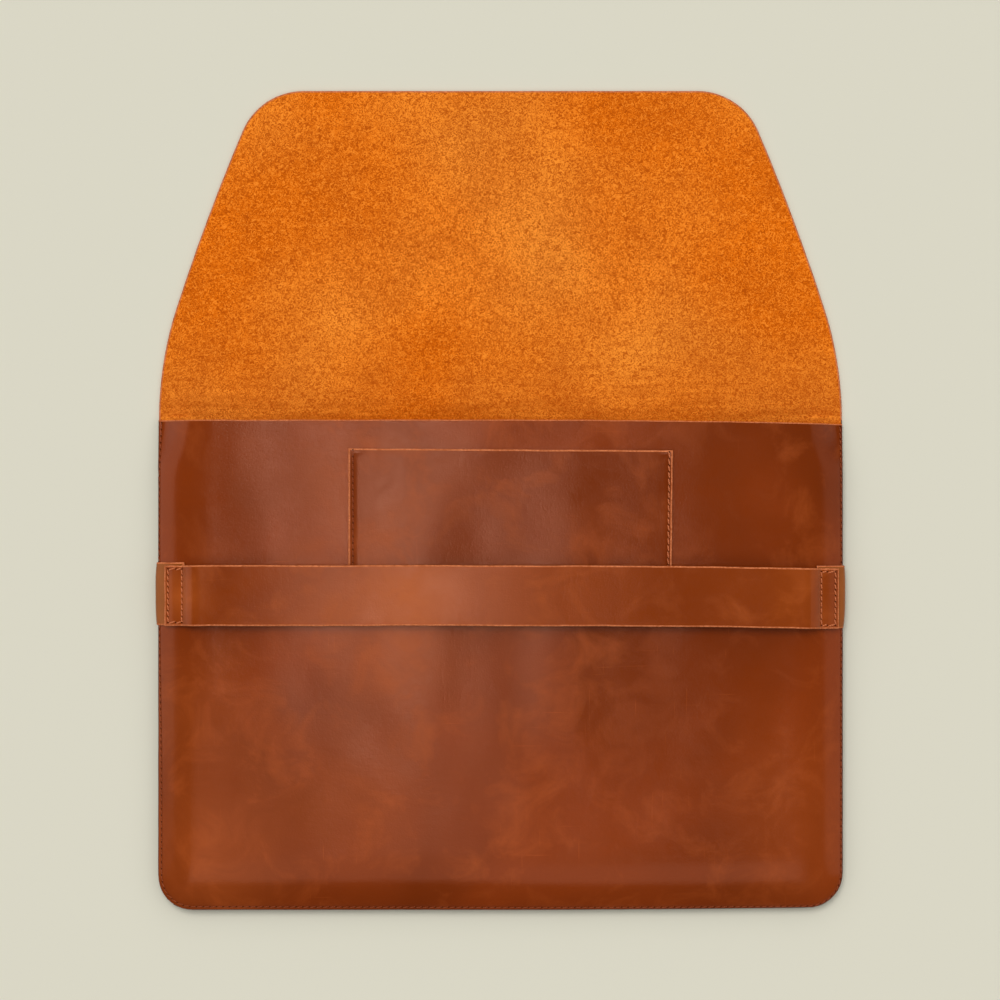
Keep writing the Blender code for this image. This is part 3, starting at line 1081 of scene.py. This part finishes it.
def seam_path(top):
    """The seam line: down the left side, round the bottom and up the right side."""
    inner = HALF_WIDTH - CORNER_RADIUS
    straight = BOTTOM_Y + CORNER_RADIUS
    path = []
    for y in evenly(top, straight, 0.005):
        path.append((-HALF_WIDTH + seam_inset(-HALF_WIDTH, y), y))
    for side, start in ((-1, 180), (1, 270)):
        for angle in evenly(start, start + 90, 7.5):
            turn = math.radians(angle)
            x = side * inner + CORNER_RADIUS * math.cos(turn)
            y = straight + CORNER_RADIUS * math.sin(turn)
            inset = seam_inset(x, y)
            path.append((x - inset * math.cos(turn), y - inset * math.sin(turn)))
        if side < 0:
            for x in evenly(-inner, inner, 0.01)[1:-1]:
                path.append((x, BOTTOM_Y + seam_inset(x, BOTTOM_Y)))
    for y in evenly(straight, top, 0.005)[1:]:
        path.append((HALF_WIDTH - seam_inset(HALF_WIDTH, y), y))
    return path


def off_face(face, height, outward=1):
    """The face moved off by a height, or its far side where outward is -1."""

    def moved(x, y):
        point, normal = face(x, y)
        return point + normal * height, normal * outward

    return moved


THREAD_NODES = {
    "front_seam": "seam_thread_front",
    "back_seam": "seam_thread_back",
    "pocket_left": "pocket_thread",
    "pocket_right": "pocket_thread",
    "strap_box_left": "strap_thread_left",
    "strap_box_right": "strap_thread_right",
    "tab_back_left": "strap_thread_back_left",
    "tab_back_right": "strap_thread_back_right",
}


def make_stitches(brown, tan, hole):
    """Every line of stitches, on both faces where both show."""
    front = laid(front_height, front_drift)
    pocket = laid(pocket_height, pocket_drift)
    back = off_face(laid(back_height, back_drift), -LEATHER, -1)
    strap = off_face(laid(strap_height, strap_drift), LEATHER)
    dark = (brown, hole)
    light = (tan, hole)
    low = 0.00002
    front_seam = [seam_path(MOUTH_Y - 0.0012)]
    back_seam = [seam_path(MOUTH_Y - BACK_SEAM_END)]
    pieces = {}
    pieces["front_seam"] = sew("front_seam", front, front_seam, SEAM_PITCH, low, 0.25, dark, 1)
    pieces["back_seam"] = sew("back_seam", back, back_seam, SEAM_PITCH, low, 0, dark, 2)
    left = pocket_low.x + POCKET_LEFT_STITCH
    right = pocket_high.x - POCKET_RIGHT_STITCH
    bottom = pocket_low.y + 0.002
    top = pocket_high.y - 0.0008
    down = [[(left, top), (left, bottom)]]
    back_up = [[(left, bottom), (right, bottom)], [(right, bottom), (right, top)]]
    # The pocket's left line is in brown thread, its bottom and right in tan thread, whose lightness is
    # partly painted highlight.
    pieces["pocket_left"] = sew("pocket_left", pocket, down, POCKET_PITCH, low, 0.1, dark, 3)
    pieces["pocket_right"] = sew(
        "pocket_right", pocket, back_up, POCKET_PITCH, low, 0.2, light, 4, THICK_THREAD
    )
    for name, side in (("left", -1), ("right", 1)):
        outer = side * (HALF_WIDTH - BOX_OUTER_INSET)
        inner = side * (HALF_WIDTH - BOX_INNER_INSET)
        low_y = strap_low.y + BOX_END_INSET
        high_y = strap_high.y - BOX_END_INSET
        box = [
            [(outer, low_y), (inner, low_y)],
            [(inner, low_y), (inner, high_y)],
            [(inner, high_y), (outer, high_y)],
            [(outer, high_y), (outer, low_y)],
        ]
        pieces[f"strap_box_{name}"] = sew(
            f"strap_box_{name}", strap, box, BOX_PITCH, low, 0.3, light, 6 + side, THICK_THREAD
        )
        shift = dip(outer, STRAP_DIP_LEFT, STRAP_DIP_RIGHT)
        column = TAB_BACK_INSET - BOX_OUTER_INSET
        line = [(column, low_y - shift), (column, high_y - shift)]
        pieces[f"tab_back_{name}"] = sew(
            f"tab_back_{name}",
            off_face(tab_face(side)[0], TAB_LEATHER),
            [line],
            BOX_PITCH,
            low,
            0,
            light,
            9 + side,
        )
    for name, piece in pieces.items():
        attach(piece, "sleeve")
        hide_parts(THREAD_NODES[name])


# ---------------------------------------------------------------- table, light and camera


def make_table(colour):
    table = bmesh.new()
    bmesh.ops.create_grid(table, x_segments=1, y_segments=1, size=6)
    mesh = bpy.data.meshes.new("table")
    table.to_mesh(mesh)
    table.free()
    mesh.materials.append(table_top("table_top", colour))
    piece = bpy.data.objects.new("table", mesh)
    bpy.context.scene.collection.objects.link(piece)
    mesh.transform(Matrix.Translation((0, 0, -0.0001)))


def lamp(name, kind, place, target, energy, **settings):
    data = bpy.data.lights.new(name, kind)
    data.energy = energy
    for key, value in settings.items():
        setattr(data, key, value)
    made = bpy.data.objects.new(name, data)
    made.location = place
    made.rotation_euler = (Vector(target) - Vector(place)).to_track_quat("-Z", "Y").to_euler()
    bpy.context.scene.collection.objects.link(made)
    return made


def studio_world():
    world = bpy.data.worlds.new("studio")
    bpy.context.scene.world = world
    world.use_nodes = True
    sky = world.node_tree.nodes["Background"]
    sky.inputs["Color"].default_value = (1.0, 0.99, 0.97, 1)
    sky.inputs["Strength"].default_value = 0.19


def panel(name, middle, place, width, depth, radiance):
    """A soft box that only shows in reflections."""
    made = lamp(
        name,
        "AREA",
        middle + Vector(place),
        middle,
        radiance * math.pi * width * depth,
        shape="RECTANGLE",
        size=width,
        size_y=depth,
    )
    made.visible_diffuse = False
    made.visible_camera = False
    return made


def light_it(middle):
    """A soft key from beyond the flap, a wide fill overhead, and soft boxes for the sheen."""
    studio_world()
    key = lamp("key", "SUN", middle + Vector((-0.14, 0.36, 1.0)), middle, 1.30, angle=0.50)
    fill = lamp("fill", "SUN", middle + Vector((0, 0.15, 1.0)), middle, 1.42, angle=2.3)
    for light in (key, fill):
        light.visible_glossy = False
    strip = panel("overhead_strip", middle, (-0.118, 0.14, 1.6), 0.09, 0.80, 8.8)
    strip.rotation_euler = (0, 0, 0.14)
    panel("near_panel", middle, (-0.1, -0.66, 1.5), 1.2, 0.75, 1.0)
    panel("left_panel", middle, (-1.4, 0.1, 0.42), 0.7, 1.0, 1.15)
    panel("right_panel", middle, (1.35, 0.0, 0.48), 0.8, 1.0, 0.6)


def place_camera(middle, span):
    """Straight above the sleeve, which fills a little over four fifths of the view's height."""
    data = bpy.data.cameras.new("camera")
    data.lens = 135
    data.sensor_width = 36
    view_width = span / 0.8205
    made = bpy.data.objects.new("camera", data)
    rim = LIFTED_RIM
    distance = view_width * data.lens / data.sensor_width
    made.location = (middle.x - 0.0002, middle.y, rim + distance)
    bpy.context.scene.collection.objects.link(made)
    bpy.context.scene.camera = made


def main():
    bpy.context.scene.view_settings.view_transform = "Standard"
    low, high = Vector(cad_box[0]), Vector(cad_box[1])
    middle = (low + high) / 2
    place_camera(middle, high.y - low.y)
    light_it(middle)
    make_table(rgb(216, 213, 196))

    deep, warm, light = rgb(112, 40, 0), rgb(132, 50, 5), rgb(164, 74, 24)
    body = grain_leather("cognac_grain", deep, warm, light, 0.0, HIDE_TONE_AND_LIGHT_PATCHES)
    pocket = grain_leather("pocket_grain", deep, rgb(130, 52, 8), light, 1.7)
    strap = grain_leather(
        "strap_grain", rgb(120, 44, 0), rgb(138, 56, 4), rgb(168, 78, 22), 3.1, STRAP_TONE_AND_LIGHT_PATCHES
    )
    # The tabs' paler, more olive grain is partly the tab's own tone and partly painted reflection of
    # the bright surroundings where the strap bends round the rim.
    tab = grain_leather("tab_grain_and_painted_sheen", rgb(128, 66, 14), rgb(148, 78, 20), rgb(166, 90, 32), 5.3)
    flesh = suede("flesh_side", rgb(170, 70, 0), rgb(240, 118, 8), rgb(255, 152, 50))
    edge = raw_edge("raw_edge", rgb(168, 84, 40), rgb(222, 132, 84))
    burnt = burnished_edge("burnished_edge", rgb(70, 26, 8), rgb(104, 44, 16))
    brown = sewing_thread("brown_thread", rgb(118, 46, 14), rgb(166, 82, 42))
    # The tan thread's lightness is partly its own colour and partly painted highlight.
    tan = sewing_thread("tan_thread", rgb(168, 84, 40), rgb(222, 130, 82))
    hole = needle_hole_painted_shade("needle_hole_painted_shade")

    make_hide(body, flesh, edge, burnt)
    make_front(body, flesh, edge, burnt)
    make_pocket(pocket, flesh, edge)
    make_strap(strap, flesh, edge)
    for name, side in (("left", -1), ("right", 1)):
        piece = make_tab(f"tab_leather_{name}", side, tab, flesh, edge)
        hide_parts(f"strap_tab_{name}")
    make_stitches(brown, tan, hole)


main()
